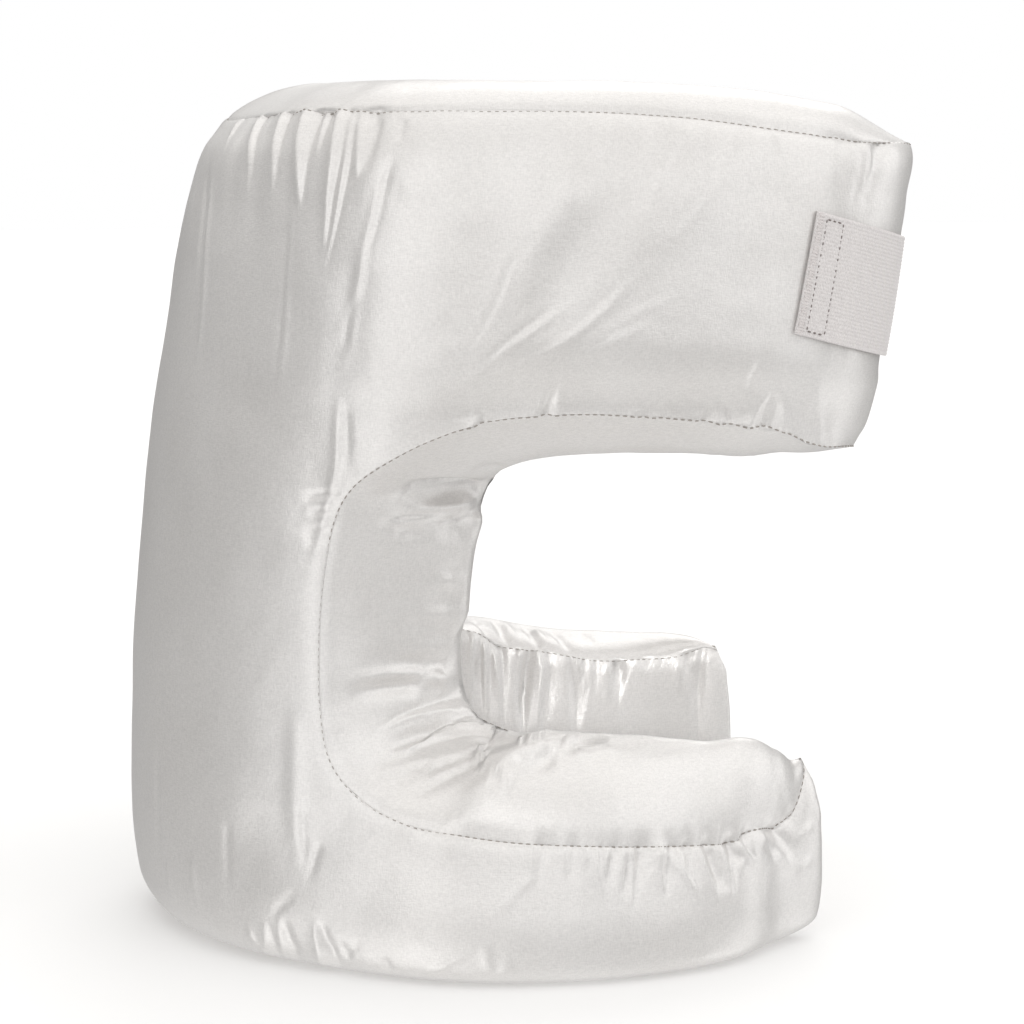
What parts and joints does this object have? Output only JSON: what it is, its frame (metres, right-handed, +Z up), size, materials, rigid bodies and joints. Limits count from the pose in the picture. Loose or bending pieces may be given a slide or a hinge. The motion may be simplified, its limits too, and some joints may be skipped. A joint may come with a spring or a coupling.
{
  "type": "memory foam pillow",
  "caption": "Upright foam head and neck pillow: horseshoe wall, head arms, collar lobes, open sides, front strap, satin cover.",
  "frame": {"origin": "middle of the bounding box, on the surface the pillow stands on", "axes": "+X forward to the open front of the horseshoe, +Y to the wearer's left, away from the picture's camera, +Z up"},
  "size_m": [0.3241, 0.298, 0.3642],
  "materials": {
    "satin_cover": "off-white woven satin with a soft sheen, over foam",
    "woven_elastic": "matt ribbed woven elastic"
  },
  "bodies": {
    "root": {"pillow_body": "satin_cover", "elastic_strap": "woven_elastic"}
  },
  "joints": []
}
